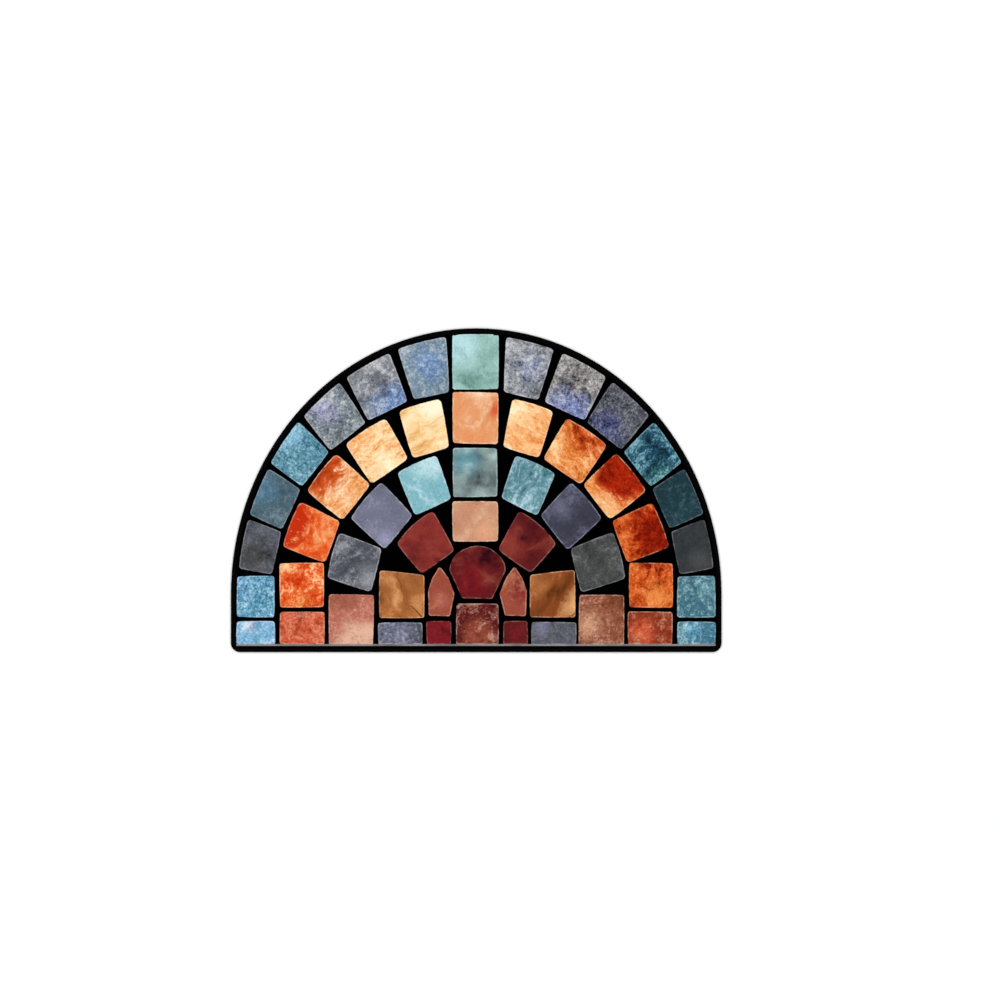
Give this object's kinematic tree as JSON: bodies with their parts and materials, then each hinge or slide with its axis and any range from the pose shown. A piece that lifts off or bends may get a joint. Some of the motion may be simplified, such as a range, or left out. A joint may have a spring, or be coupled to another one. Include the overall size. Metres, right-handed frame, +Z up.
{
  "type": "doormat",
  "caption": "Half-round doormat: a short printed pile face with concentric arches of coloured stone blocks, on a black rubber backing with a plain rim.",
  "frame": {"origin": "on the floor plane, under the middle of the mat's width and depth", "axes": "+X along the straight foot edge, +Y from the foot towards the crown of the arch, +Z up through the mat's thickness"},
  "size_m": [0.6, 0.396, 0.006],
  "materials": {
    "rubber": "matt black moulded rubber",
    "pile": "short matt printed pile, many-coloured blocks on black"
  },
  "bodies": {
    "root": {"rubber_backing": "rubber", "pile_face": "pile"}
  },
  "joints": []
}
